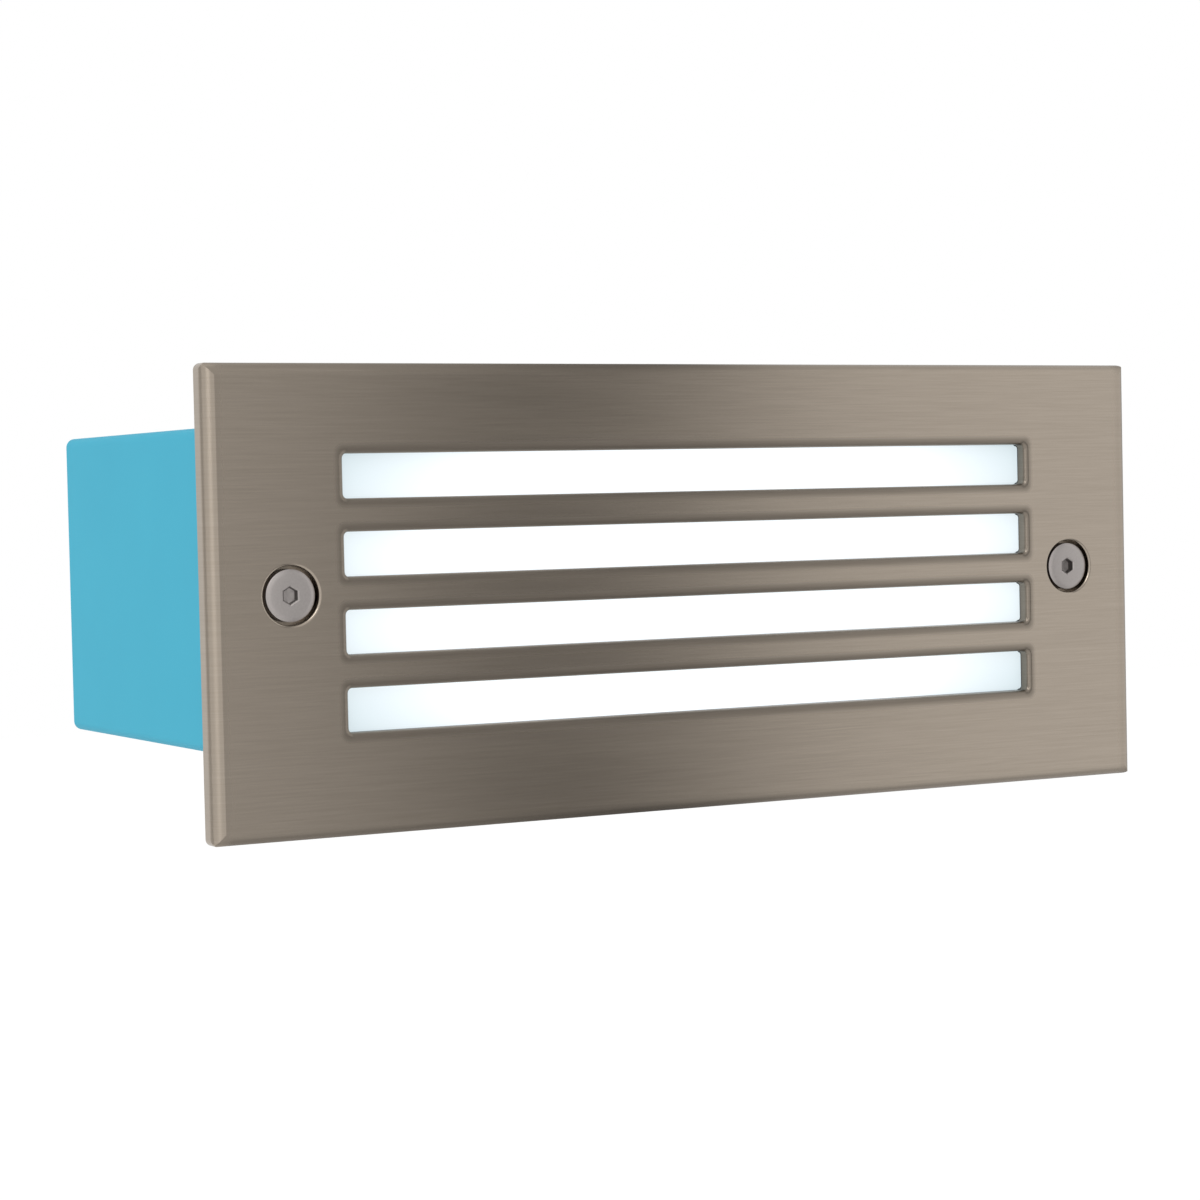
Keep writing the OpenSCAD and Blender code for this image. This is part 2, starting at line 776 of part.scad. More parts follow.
module driver_case() {
    color("#f0f0ec") difference() {
        union() {
            difference() {
                slab(tray_back_y, driver_lid_y) translate([driver_x, driver_z])
                    round_rect(driver_l, driver_w, driver_corner_r);
                slab(tray_back_y + driver_wall, driver_lid_y + over) translate([driver_x, driver_z])
                    round_rect(driver_inner_l, driver_inner_w, driver_corner_r / 3);
            }
            slab(tray_back_y, tray_back_y + driver_lug_t) for (s = sides)
                translate([driver_x + s * driver_screw_x, driver_z])
                    square([driver_lug_l + driver_wall, 2 * driver_lug_l], center = true);
            slab(tray_back_y + driver_wall / 2, driver_board_y) translate([driver_x, driver_z])
                for (s = sides, t = sides)
                    translate([s * (driver_inner_l - driver_pad) / 2, t * (driver_inner_w - driver_pad) / 2])
                        square(driver_pad, center = true);
        }
        for (s = sides) {
            slab(tray_back_y - over, tray_back_y + driver_lug_t + over)
                translate([driver_x + s * driver_screw_x, driver_z]) circle(driver_screw_r + fit);
            for (t = sides) translate([driver_x + s * driver_l / 2, driver_lead_y, driver_z + t * lead_gap])
                rotate([0, 90, 0]) cylinder(r = lead_hole_r, h = 3 * driver_wall, center = true);
        }
    }
}

module driver_lid() {
    color("#e4e4df") {
        slab(driver_lid_y, driver_lid_y + driver_lid_t) translate([driver_x, driver_z])
            round_rect(driver_l, driver_w, driver_corner_r);
        slab(driver_lid_y - driver_wall, driver_lid_y) translate([driver_x, driver_z]) difference() {
            round_rect(driver_inner_l - 2 * ease, driver_inner_w - 2 * ease, driver_corner_r / 3);
            round_rect(driver_inner_l - driver_wall, driver_inner_w - driver_wall, driver_corner_r / 3);
        }
    }
}

module driver_board() {
    color("#2f7d4a") slab(driver_board_y, driver_board_y + board_t) translate([driver_x, driver_z])
        square([driver_inner_l - 2 * ease, driver_inner_w - 2 * ease], center = true);
}

// A ferrite core with a wound bobbin through its window
module driver_transformer() {
    back = transformer_y + transformer_h;
    color("#3a3532") translate([driver_x, 0, driver_z]) {
        slab(transformer_y, back) difference() {
            square([transformer_l, transformer_w], center = true);
            square([transformer_l - 2 * core_lap, transformer_w - 2 * core_lap], center = true);
        }
        slab(transformer_y, back - core_lap)
            square([transformer_l - core_lap, transformer_w - core_lap], center = true);
    }
}

module driver_capacitors() {
    color("#26303f") for (s = sides) translate([driver_x + s * capacitor_x, 0, driver_z])
        slab(transformer_y, transformer_y + transformer_h) circle(capacitor_r);
}

module driver_screws() {
    seat = tray_back_y + driver_lug_t;
    color("#b9bcc0") for (s = sides) translate([driver_x + s * driver_screw_x, 0, driver_z]) {
        slab(seat, seat + pan_head_h) circle(pan_head_r);
        slab(tray_y + ease, seat) circle(driver_screw_r);
    }
}

module terminal_housing() {
    color("#e9e9e4") difference() {
        slab(terminal_y, terminal_back_y) translate([terminal_x, terminal_z])
            round_rect(terminal_w, terminal_h, box_corner_r / 2);
        for (i = [0 : pole_n - 1])
            translate([pole_x(i), barrel_y, terminal_z])
                cube([barrel_w + 2 * ease, barrel_w + 2 * ease, terminal_h + 2 * over], center = true);
        slab(terminal_y - over, barrel_y) {
            at_poles() for (t = sides) translate([0, t * pole_screw_z]) circle(pole_access_r);
        }
        slab(terminal_y - over, terminal_back_y + over) at_terminal_fixings() circle(fixing_screw_r + fit);
        slab(terminal_y - over, terminal_y + pan_head_h) at_terminal_fixings() circle(pole_access_r);
    }
}

module terminal_barrels() {
    color("#d0a94a") for (i = [0 : pole_n - 1])
        translate([pole_x(i), barrel_y, terminal_z]) difference() {
            cube([barrel_w, barrel_w, barrel_l], center = true);
            cylinder(r = barrel_bore_r, h = barrel_l + 2 * over, center = true);
            for (t = sides) translate([0, -barrel_w / 2 - over, t * pole_screw_z]) rotate([-90, 0, 0])
                cylinder(r = pole_screw_r + fit, h = barrel_w / 2 + over);
        }
}

module terminal_screws() {
    seat = barrel_y - barrel_w / 2 - ease;
    color("#b9bcc0") for (i = [0 : pole_n - 1], t = sides)
        translate([pole_x(i), 0, terminal_z + t * pole_screw_z])
            slab(seat - pole_screw_l / 2, barrel_y - barrel_bore_r) circle(pole_screw_r);
}

module terminal_fixings() {
    color("#b9bcc0") for (s = sides) translate([terminal_x + s * pole_pitch / 2, 0, terminal_z]) {
        slab(terminal_y + ease, terminal_y + pan_head_h) circle(pole_access_r - ease);
        slab(terminal_y + pan_head_h, back_y) circle(fixing_screw_r);
    }
}

module cord_clamp_bar() {
    color("#f4f4ef") slab(clamp_bar_y, clamp_post_y) difference() {
        translate([cord_clamp_x, entry_z])
            round_rect(clamp_bar_w, 2 * (clamp_post_z + clamp_post_r), clamp_post_r);
        at_clamp_posts() circle(fixing_screw_r + ease);
    }
}

module cord_clamp_screws() {
    color("#b9bcc0") for (s = sides) translate([cord_clamp_x, 0, entry_z + s * clamp_post_z])
        pan_screw(clamp_bar_y, fixing_screw_r, clamp_bar_t + clamp_post_h - over, clamp_head_share);
}

// A point on the smooth curve through p1 and p2, with p0 and p3 on either side
function curve_point(p0, p1, p2, p3, t) =
    (2 * p1 + (p2 - p0) * t + (2 * p0 - 5 * p1 + 4 * p2 - p3) * t * t
        + (3 * p1 - p0 - 3 * p2 + p3) * t * t * t) / 2;

function last(v) = len(v) - 1;

// The smooth curve through a list of points, with a number of steps between neighbours
function curve(p, steps) = [
    for (i = [0 : last(p) - 1], k = [0 : steps - 1])
        curve_point(p[max(i - 1, 0)], p[i], p[i + 1], p[min(i + 2, last(p))], k / steps),
    p[last(p)]
];

function unit(v) = v / norm(v);

function heading(c, i) = unit(c[min(i + 1, last(c))] - c[max(i - 1, 0)]);

// A round tube along a list of points
module lead(points, hue) {
    lead_steps = 5;
    ring_n = 8;
    aside_share = [0.31, 0.52, 0.79];
    c = curve(points, lead_steps);
    rings = [
        for (i = [0 : last(c)])
            let (t = heading(c, i), a = unit(cross(t, aside_share)), b = cross(t, a))
                for (k = [0 : ring_n - 1])
                    c[i] + lead_r * (cos(360 * k / ring_n) * a + sin(360 * k / ring_n) * b)
    ];
    walls = [
        for (i = [0 : last(c) - 1], k = [0 : ring_n - 1])
            let (m = i * ring_n, n = (k + 1) % ring_n)
                each [[m + k, m + ring_n + k, m + n], [m + n, m + ring_n + k, m + ring_n + n]]
    ];
    caps = [
        [for (k = [0 : ring_n - 1]) k],
        [for (k = [0 : ring_n - 1]) last(c) * ring_n + ring_n - 1 - k]
    ];
    color(hue) polyhedron(rings, concat(walls, caps));
}

// The route of a lead from a pole of the terminal block to the driver's input end
function mains_route(pole, side) =
    let (
        x0 = terminal_x + pole * pole_pitch,
        z0 = terminal_z + terminal_h / 2,
        x1 = driver_x - driver_l / 2,
        z1 = driver_z + side * lead_gap,
        bend = 4 * pole_pitch / 3,
        step = (barrel_y - driver_back_y) / 5
    ) [
        [x0, barrel_y, z0 - terminal_h / 4],
        [x0, barrel_y, z0 + bend / 2],
        [x0 - bend / 2, barrel_y - step, z0 + bend + side * lead_gap],
        [x0 - 2 * bend, barrel_y - 2 * step, z1],
        [x1 - bend / 3, barrel_y - 4 * step, z1],
        [x1 - bend, driver_lead_y + bend, z1],
        [x1 - bend, driver_lead_y + bend / 3, z1],
        [x1 - bend / 2, driver_lead_y, z1],
        [x1 + 2 * driver_wall, driver_lead_y, z1]
    ];

// The route of a lead from the driver's output end through the bushing to the LED board
function led_route(side) =
    let (
        x0 = driver_x + driver_l / 2,
        z0 = driver_z + side * lead_gap,
        z1 = bushing_z + side * lead_gap / 2,
        reach = bushing_x - x0
    ) [
        [x0 - 2 * driver_wall, driver_lead_y, z0],
        [x0 + reach / 4, driver_lead_y, z0],
        [x0 + 3 * reach / 4, driver_lead_y, (z0 + z1) / 2],
        [bushing_x, driver_lead_y - reach / 6, z1],
        [bushing_x, tray_back_y + tray_t, z1],
        [bushing_x, tray_y, z1]
    ];

module live_lead() {
    lead(mains_route(-1, -1), "#7a4a2b");
}

module neutral_lead() {
    lead(mains_route(0, 1), "#2f63b0");
}

module led_lead_positive() {
    lead(led_route(1), "#c0332c");
}

module led_lead_negative() {
    lead(led_route(-1), "#222428");
}

faceplate();
weld_studs();
face_gasket();
diffuser();
clamp_strips();
clamp_washers();
clamp_nuts();
rim_gasket();
cover_screw_left();
cover_screw_right();
seal_washer_left();
seal_washer_right();
keeper_ring_left();
keeper_ring_right();
back_box();
screw_inserts();
cable_grommet();
blanking_plug();
gear_tray();
tray_screws();
tray_bushing();
led_board();
led_chips();
reflector();
reflector_screws();
driver_case();
driver_lid();
driver_board();
driver_transformer();
driver_capacitors();
driver_screws();
terminal_housing();
terminal_barrels();
terminal_screws();
terminal_fixings();
cord_clamp_bar();
cord_clamp_screws();
live_lead();
neutral_lead();
led_lead_positive();
led_lead_negative();
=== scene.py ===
# %% [markdown]
# A recessed step light and its finishes
# The light is a steel grille held to a blue wall box by two socket screws, with a lit lens behind it.
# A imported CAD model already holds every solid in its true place, so this lesson adds what CAD leaves out:
# the brushed grain, the glow of the lens, real screw threads, and a small studio to see them in.
# Lengths in Blender are metres, so millimetres are turned into metres by one value.

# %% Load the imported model
import bpy
import json
import math
from mathutils import Matrix, Vector


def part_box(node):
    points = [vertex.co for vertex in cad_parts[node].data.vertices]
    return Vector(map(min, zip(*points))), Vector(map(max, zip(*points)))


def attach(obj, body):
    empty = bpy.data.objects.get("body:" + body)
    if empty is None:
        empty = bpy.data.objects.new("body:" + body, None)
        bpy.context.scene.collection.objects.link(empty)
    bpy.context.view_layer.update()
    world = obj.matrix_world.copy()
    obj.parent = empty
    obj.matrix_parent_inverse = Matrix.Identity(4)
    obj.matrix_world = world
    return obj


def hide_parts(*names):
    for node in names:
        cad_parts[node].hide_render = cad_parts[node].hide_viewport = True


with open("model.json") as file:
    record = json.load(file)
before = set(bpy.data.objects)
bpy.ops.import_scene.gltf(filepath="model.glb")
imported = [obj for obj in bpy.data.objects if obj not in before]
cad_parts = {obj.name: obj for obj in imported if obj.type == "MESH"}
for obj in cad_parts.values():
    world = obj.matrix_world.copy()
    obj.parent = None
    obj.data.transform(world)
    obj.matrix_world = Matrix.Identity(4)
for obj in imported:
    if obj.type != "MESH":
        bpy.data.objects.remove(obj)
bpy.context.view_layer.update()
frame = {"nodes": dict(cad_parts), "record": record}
MM = 0.001

# %% [markdown]
# The camera
# The portrait looks at the left half of the grille first, so the side of the box shows on the left.
# The eye stands about 0.63 m from the light and a long lens keeps the box from looking pinched.
# A camera could be aimed with a tracking constraint, but a matrix made from three plain angles
# says exactly where it stands, and it can't drift when a piece is added.

# %% Camera
PHOTO_WIDTH = 1200
SENSOR_MM = 36.0
FOCAL_PIXELS = 2908.3
EYE = Vector((-323.2, -543.9, 19.6)) * MM
YAW, PITCH, ROLL = 0.50262, -0.03512, -0.02211


def camera_matrix(eye, yaw, pitch, roll):
    """The place of a camera that looks along +Y, then turns by yaw, pitch and roll in radians."""
    flat = Vector((math.sin(yaw), math.cos(yaw), 0))
    ahead = flat * math.cos(pitch) + Vector((0, 0, math.sin(pitch)))
    right = Vector((math.cos(yaw), -math.sin(yaw), 0))
    up = right.cross(ahead)
    side = right * math.cos(roll) + up * math.sin(roll)
    top = up * math.cos(roll) - right * math.sin(roll)
    turn = Matrix((side, top, -ahead)).transposed()
    return Matrix.Translation(eye) @ turn.to_4x4()


camera_data = bpy.data.cameras.new("portrait_camera")
camera_data.sensor_width = SENSOR_MM
camera_data.lens = FOCAL_PIXELS / PHOTO_WIDTH * SENSOR_MM
camera = bpy.data.objects.new("portrait_camera", camera_data)
camera.matrix_world = camera_matrix(EYE, YAW, PITCH, ROLL)
bpy.context.collection.objects.link(camera)
bpy.context.scene.camera = camera
print("lens:", round(camera_data.lens, 2), "mm")

# %% [markdown]
# Helpers for colours and nodes
# Colours are written as they look on a screen, in hex, but shaders add and blend light in linear
# values, so one function turns each colour over. A second function adds a node with its settings and
# links in one line, which keeps every material below short enough to read as a recipe.

# %% Helpers for colours and nodes
def linear(colour):
    """A screen colour such as #8a8074 as linear red, green, blue and alpha."""
    parts = [int(colour[i:i + 2], 16) / 255 for i in (1, 3, 5)]
    return [p / 12.92 if p <= 0.04045 else ((p + 0.055) / 1.055) ** 2.4 for p in parts] + [1.0]


def grey(level):
    """A linear grey of that level."""
    return (level, level, level, 1)


def add(tree, kind, inputs=None, **settings):
    """Adds one node. An input given an output, or a node for its first output, is linked; others are set."""
    node = tree.nodes.new(kind)
    for name, value in settings.items():
        setattr(node, name, value)
    for name, value in (inputs or {}).items():
        if isinstance(value, bpy.types.Node):
            value = value.outputs[0]
        if isinstance(value, bpy.types.NodeSocket):
            tree.links.new(value, node.inputs[name])
        else:
            node.inputs[name].default_value = value
    return node


def new_material(name):
    """An empty node material, and its tree."""
    material = bpy.data.materials.new(name)
    material.use_nodes = True
    material.node_tree.nodes.clear()
    return material, material.node_tree


def finish_with(tree, shader):
    """Sends a shader to the surface."""
    add(tree, "ShaderNodeOutputMaterial", {"Surface": shader})


print("steel as linear:", [round(c, 3) for c in linear("#a69b8e")])

# %% [markdown]
# The slots of the grille
# The grille is pressed from sheet and then brushed on a belt. The belt misses the rolled edges of the
# slots and the bent ends, so those stay duller, and shade is painted into the steel round each slot's rolled
# edge to darken it. A mask could be painted by hand, but the slots repeat at one pitch, so a few sums on
# the place of a point give its distance to the nearest slot.

# %% The slots of the grille
PATTERN_Z = 1.4
SLOT_HALF_WIDTH, SLOT_HALF_HEIGHT, SLOT_PITCH = 85.2, 4.55, 15.84
SLOT_LOW, SLOT_HIGH = -22.36, 25.16
# The band round a slot's rolled edge that gets painted shade and dullness, in mm.
EDGE_START, EDGE_END = 0.7, 2.4


def fade_out(tree, value, start, stop):
    """One up to start, falling softly to nought at stop, both in millimetres."""
    return add(tree, "ShaderNodeMapRange", {
        "Value": value, "From Min": start * MM, "From Max": stop * MM, "To Min": 1.0, "To Max": 0.0,
    }, interpolation_type="SMOOTHSTEP")


def slot_edge_shade_and_dull(tree, aside, height):
    """One at the rolled edge of the nearest slot, falling to nought on the flat sheet round it; it sets
    painted shade and dullness.
    """
    end_gap = add(tree, "ShaderNodeMath", {0: aside, 1: SLOT_HALF_WIDTH * MM}, operation="SUBTRACT")
    past_end = add(tree, "ShaderNodeMath", {0: end_gap, 1: 0.0}, operation="MAXIMUM")
    above_low = add(tree, "ShaderNodeMath", {0: height, 1: SLOT_LOW * MM}, operation="MAXIMUM")
    inside = add(tree, "ShaderNodeMath", {0: above_low, 1: SLOT_HIGH * MM}, operation="MINIMUM")
    climb = add(tree, "ShaderNodeMath", {0: inside, 1: SLOT_LOW * MM}, operation="SUBTRACT")
    nearest = add(tree, "ShaderNodeMath", {0: climb, 1: SLOT_PITCH * MM / 2}, operation="PINGPONG")
    beyond = add(tree, "ShaderNodeMath", {0: height, 1: inside}, operation="SUBTRACT")
    outside = add(tree, "ShaderNodeMath", {0: beyond}, operation="ABSOLUTE")
    rise = add(tree, "ShaderNodeMath", {0: nearest, 1: outside}, operation="ADD")
    away = add(tree, "ShaderNodeMath", {0: rise, 1: SLOT_HALF_HEIGHT * MM}, operation="SUBTRACT")
    past_side = add(tree, "ShaderNodeMath", {0: away, 1: 0.0}, operation="MAXIMUM")
    gap = add(tree, "ShaderNodeCombineXYZ", {"X": past_end, "Z": past_side})
    length = add(tree, "ShaderNodeVectorMath", {0: gap}, operation="LENGTH").outputs["Value"]
    return fade_out(tree, length, EDGE_START, EDGE_END)


print("slots in the pattern:", round((SLOT_HIGH - SLOT_LOW) / SLOT_PITCH) + 1)

# %% [markdown]
# Brushed stainless steel
# Each scratch of the belt runs level, along the grille. Scratches spread a reflection across themselves:
# light smears up and down and stays sharp sideways. That is anisotropy, and the quarter turn points the
# smear upright. The scratches are a noise pulled out to 14 mm long. Real ones are about 0.05 mm wide, and
# they are drawn 0.3 mm wide to show. A second, broader noise lets the gloss drift, as a worn belt does.
# To the eye this is a soft sheen in level streaks, never a mirror.

# %% Brushed stainless steel
SCRATCH_LENGTH, SCRATCH_WIDTH = 14, 0.3
CLOUD_LENGTH, CLOUD_WIDTH = 90, 6
STEEL_DARK, STEEL_LIGHT = "#9d9285", "#afa497"
STEEL_SMOOTH, STEEL_ROUGH = 0.22, 0.27
CLOUD_LOW, CLOUD_HIGH = 0.3, 0.7
SCRATCH_STRENGTH, SCRATCH_DEPTH_MM = 0.12, 0.02
STREAK_DETAIL, STREAK_BREAKS = 3.0, 0.6
SMEAR, QUARTER_TURN = 0.85, 0.25
END_START, END_END = 110.5, 113.5
# Round each slot's rolled edge the steel's colour is darkened to the first level, a painted shade, and made
# duller by the second.
EDGE_PAINTED_SHADE, EDGE_DULL = 0.66, 0.14


def scratches(tree, place, length_mm, width_mm):
    """A noise stretched along X: streaks of about that length and width."""
    scale = (1 / (length_mm * MM), 1 / (length_mm * MM), 1 / (width_mm * MM))
    stretch = add(tree, "ShaderNodeMapping", {"Vector": place, "Scale": scale})
    return add(tree, "ShaderNodeTexNoise", {
        "Vector": stretch, "Scale": 1.0, "Detail": STREAK_DETAIL, "Roughness": STREAK_BREAKS,
    }).outputs["Fac"]


def brushed_stainless():
    """Level scratches in tint, gloss and relief, duller where the belt misses, with painted shade round each
    slot.
    """
    material, tree = new_material("brushed_stainless_steel")
    place = add(tree, "ShaderNodeTexCoord").outputs["Object"]
    fine = scratches(tree, place, SCRATCH_LENGTH, SCRATCH_WIDTH)
    cloudy = scratches(tree, place, CLOUD_LENGTH, CLOUD_WIDTH)
    tint = add(tree, "ShaderNodeMix", {
        "Factor": fine, "A": linear(STEEL_DARK), "B": linear(STEEL_LIGHT),
    }, data_type="RGBA").outputs["Result"]
    worn = add(tree, "ShaderNodeMapRange", {
        "Value": cloudy, "From Min": CLOUD_LOW, "From Max": CLOUD_HIGH,
        "To Min": STEEL_SMOOTH, "To Max": STEEL_ROUGH,
    })
    axes = add(tree, "ShaderNodeSeparateXYZ", {"Vector": place})
    aside = add(tree, "ShaderNodeMath", {0: axes.outputs["X"]}, operation="ABSOLUTE")
    edge = slot_edge_shade_and_dull(tree, aside, axes.outputs["Z"])
    flat = fade_out(tree, aside, END_START, END_END)
    bent = add(tree, "ShaderNodeMath", {0: 1.0, 1: flat}, operation="SUBTRACT")
    missed = add(tree, "ShaderNodeMath", {0: bent, 1: edge}, operation="MAXIMUM")
    dull = add(tree, "ShaderNodeMath", {0: missed, 1: EDGE_DULL}, operation="MULTIPLY")
    rough = add(tree, "ShaderNodeMath", {0: worn, 1: dull}, operation="ADD")
    # Painted shade: the tint darkens round each slot's rolled edge.
    shade = add(tree, "ShaderNodeMix", {
        "Factor": edge, "A": tint, "B": grey(EDGE_PAINTED_SHADE),
    }, data_type="RGBA", blend_type="MULTIPLY").outputs["Result"]
    relief = add(tree, "ShaderNodeBump", {
        "Height": fine, "Strength": SCRATCH_STRENGTH, "Distance": SCRATCH_DEPTH_MM * MM,
    })
    steel = add(tree, "ShaderNodeBsdfPrincipled", {
        "Base Color": shade, "Roughness": rough, "Normal": relief, "Metallic": 1.0,
        "Anisotropic": SMEAR, "Anisotropic Rotation": QUARTER_TURN,
    })
    finish_with(tree, steel)
    return material


BRUSHED_STEEL = brushed_stainless()
print("made", BRUSHED_STEEL.name)

# %% [markdown]
# Turned metals
# Screws, nuts and inserts are turned on a lathe or cold headed, so their marks run round an axis.
# Three of them differ only in colour and polish: stainless screws, zinc plated small parts and brass.
# A fine noise breaks the reflection, and metal keeps the default IOR, because its colour sets the mirror.
# The real grain is finer than 0.1 mm, and it is drawn 0.4 mm wide to show. Rings cut by a lathe could be
# drawn too, but at this distance they melt into the same soft shine.
# A mask darkens the walls of a cover screw's socket with painted shade, as a deep recess lies in shade.

# %% Turned metals
SCREW_X = 97.3
SOCKET_REACH, SOCKET_MIDDLE_Y, SOCKET_HALF_DEPTH = 1.85, -3.75, 0.83
# The colour of a socket's walls is darkened to this level: painted shade.
SOCKET_PAINTED_SHADE = 0.35
METAL_GRAIN_MM = 0.4
POLISH_DRIFT = 0.06
GRAIN_DETAIL = 2.0


def painted_socket_shade_mask(tree, place):
    """One on the walls of a cover screw's socket, where shade is painted, nought on its floor and the rest of
    the screw.
    """
    axes = add(tree, "ShaderNodeSeparateXYZ", {"Vector": place})
    aside = add(tree, "ShaderNodeMath", {0: axes.outputs["X"]}, operation="ABSOLUTE")
    sideways = add(tree, "ShaderNodeMath", {0: aside, 1: SCREW_X * MM}, operation="SUBTRACT")
    upwards = add(tree, "ShaderNodeMath", {0: axes.outputs["Z"], 1: PATTERN_Z * MM}, operation="SUBTRACT")
    across = add(tree, "ShaderNodeCombineXYZ", {"X": sideways, "Z": upwards})
    reach = add(tree, "ShaderNodeVectorMath", {0: across}, operation="LENGTH").outputs["Value"]
    near = add(tree, "ShaderNodeMath", {0: reach, 1: SOCKET_REACH * MM}, operation="LESS_THAN")
    deep = add(tree, "ShaderNodeMath", {
        0: axes.outputs["Y"], 1: SOCKET_MIDDLE_Y * MM, 2: SOCKET_HALF_DEPTH * MM,
    }, operation="COMPARE")
    return add(tree, "ShaderNodeMath", {0: near, 1: deep}, operation="MULTIPLY")


def turned_metal(name, colour, dark, roughness, socket=False):
    """A bare metal whose tint and polish drift with a fine grain, and with socket set, painted shade on a
    socket's walls.
    """
    material, tree = new_material(name)
    place = add(tree, "ShaderNodeTexCoord").outputs["Object"]
    grain = add(tree, "ShaderNodeTexNoise", {
        "Vector": place, "Scale": 1 / (METAL_GRAIN_MM * MM), "Detail": GRAIN_DETAIL,
    })
    shade = add(tree, "ShaderNodeMix", {
        "Factor": grain, "A": linear(dark), "B": linear(colour),
    }, data_type="RGBA").outputs["Result"]
    # Painted shade on the walls of the socket.
    if socket:
        shade = add(tree, "ShaderNodeMix", {
            "Factor": painted_socket_shade_mask(tree, place), "A": shade, "B": grey(SOCKET_PAINTED_SHADE),
        }, data_type="RGBA", blend_type="MULTIPLY").outputs["Result"]
    polish = add(tree, "ShaderNodeMapRange", {
        "Value": grain, "To Min": roughness - POLISH_DRIFT, "To Max": roughness + POLISH_DRIFT,
    })
    metal = add(tree, "ShaderNodeBsdfPrincipled", {"Base Color": shade, "Roughness": polish, "Metallic": 1.0})
    finish_with(tree, metal)
    return material


# Stainless steel, headed cold and then turned: a warm grey with a soft shine, with painted shade on its
# socket walls.
SCREW_STEEL = turned_metal("turned_stainless_steel", "#b6b0ad", "#a29c99", roughness=0.40, socket=True)
# Mild steel with a thin coat of zinc: lighter, bluer and a little brighter.
ZINC = turned_metal("zinc_plated_steel", "#c3c7cb", "#a9aeb3", roughness=0.36)
# Brass, turned from bar: yellow, and the crispest highlight of the three.
BRASS = turned_metal("turned_brass", "#dcb769", "#c09a4c", roughness=0.30)
print("made", SCREW_STEEL.name, ZINC.name, BRASS.name)

# %% [markdown]
# Moulded plastics and rubber
# Injection moulded pieces take the texture of their steel mould, here a fine spark-eroded matte.
# A colour that drifts a little, as pigment does, and a bump of the mould's grain say plastic, not paint.
# One function makes them all, because only the colour, the gloss and the grain size differ.
# A mould's real pits are about 0.05 mm wide, and they are drawn 0.3 to 0.8 mm wide to show.

# %% Moulded plastics and rubber
PLASTIC_IOR, RUBBER_IOR = 1.49, 1.52
PIGMENT_DRIFT_MM, PIGMENT_DETAIL = 25, 3.0
PIT_DEPTH_MM = 0.05


def moulded(name, colour, deep, roughness, grain_mm=0.35, relief=0.15, ior=PLASTIC_IOR):
    """A plastic or rubber whose pigment drifts, with the fine pits of its mould."""
    material, tree = new_material(name)
    place = add(tree, "ShaderNodeTexCoord").outputs["Object"]
    drift = add(tree, "ShaderNodeTexNoise", {
        "Vector": place, "Scale": 1 / (PIGMENT_DRIFT_MM * MM), "Detail": PIGMENT_DETAIL,
    })
    tint = add(tree, "ShaderNodeMix", {
        "Factor": drift, "A": linear(deep), "B": linear(colour),
    }, data_type="RGBA").outputs["Result"]
    grain = add(tree, "ShaderNodeTexNoise", {
        "Vector": place, "Scale": 1 / (grain_mm * MM), "Detail": GRAIN_DETAIL,
    })
    pits = add(tree, "ShaderNodeBump", {"Height": grain, "Strength": relief, "Distance": PIT_DEPTH_MM * MM})
    body = add(tree, "ShaderNodeBsdfPrincipled", {
        "Base Color": tint, "Normal": pits, "Roughness": roughness, "IOR": ior,
    })
    finish_with(tree, body)
    return material


# Polypropylene, moulded: a strong blue, slightly waxy, with a broad soft shine.
BLUE_BOX = moulded("moulded_polypropylene_blue", "#26a8c4", "#20a2bf", roughness=0.60)
# Rubber, moulded hot: near black, the dullest, with coarse shallow pits.
RUBBER = moulded("moulded_epdm_rubber", "#38383b", "#2a2a2d", roughness=0.70, grain_mm=0.5, relief=0.3,
                 ior=RUBBER_IOR)
# Nylon, moulded: a creamy white with a faint sheen.
NYLON = moulded("moulded_nylon", "#efece2", "#e4e0d4", roughness=0.45)
# ABS, moulded in a smoother mould: a clean white with a clearer highlight.
WHITE_ABS = moulded("moulded_white_abs", "#f5f5f3", "#ecece8", roughness=0.35)
# Powder coat, sprayed on sheet steel and baked: white, with the fine waves called orange peel.
ENAMEL = moulded("white_powder_coat", "#f3f3ee", "#e8e8e2", roughness=0.42, grain_mm=0.6, relief=0.35)
# PVC, drawn over the wire while hot: plain colours with a smooth, soft highlight.
PVC_BROWN = moulded("pvc_insulation_brown", "#8a5f42", "#78503a", roughness=0.40)
PVC_BLUE = moulded("pvc_insulation_blue", "#3f77b8", "#3568a6", roughness=0.40)
PVC_RED = moulded("pvc_insulation_red", "#c43a30", "#ab3028", roughness=0.40)
PVC_BLACK = moulded("pvc_insulation_black", "#333538", "#27292b", roughness=0.40)
# PVC film, shrunk on with heat: dark and taut, so it is one of the glossiest.
SLEEVE = moulded("pvc_shrink_sleeve", "#333c50", "#283042", roughness=0.30)
# Ferrite, pressed from powder and fired: dark, dry and grainy, like slate.
FERRITE = moulded("sintered_ferrite", "#4d4a47", "#3a3836", roughness=0.60, grain_mm=0.3, relief=0.4)
# Solder mask, a lacquer printed on the board: thin and even, with a wet look.
BOARD_GREEN = moulded("green_solder_mask", "#4a8f62", "#3e7d55", roughness=0.28, grain_mm=0.8, relief=0.1)
BOARD_WHITE = moulded("white_solder_mask", "#f4f4f0", "#e9e9e4", roughness=0.28, grain_mm=0.8, relief=0.1)
print("made the moulded finishes")

# %% [markdown]
# The lit lens and its chips
# Opal polycarbonate scatters the light of the chips behind it, so the whole lens shines evenly.
# It could be glass with lamps behind, but such paths stay noisy. A surface that gives off its own light
# is steadier, and a slow fade to a cooler, dimmer white near the ends says where the chips stop.
# A chip is capped with silicone full of yellow phosphor, whose grains are drawn 0.5 mm wide to show.

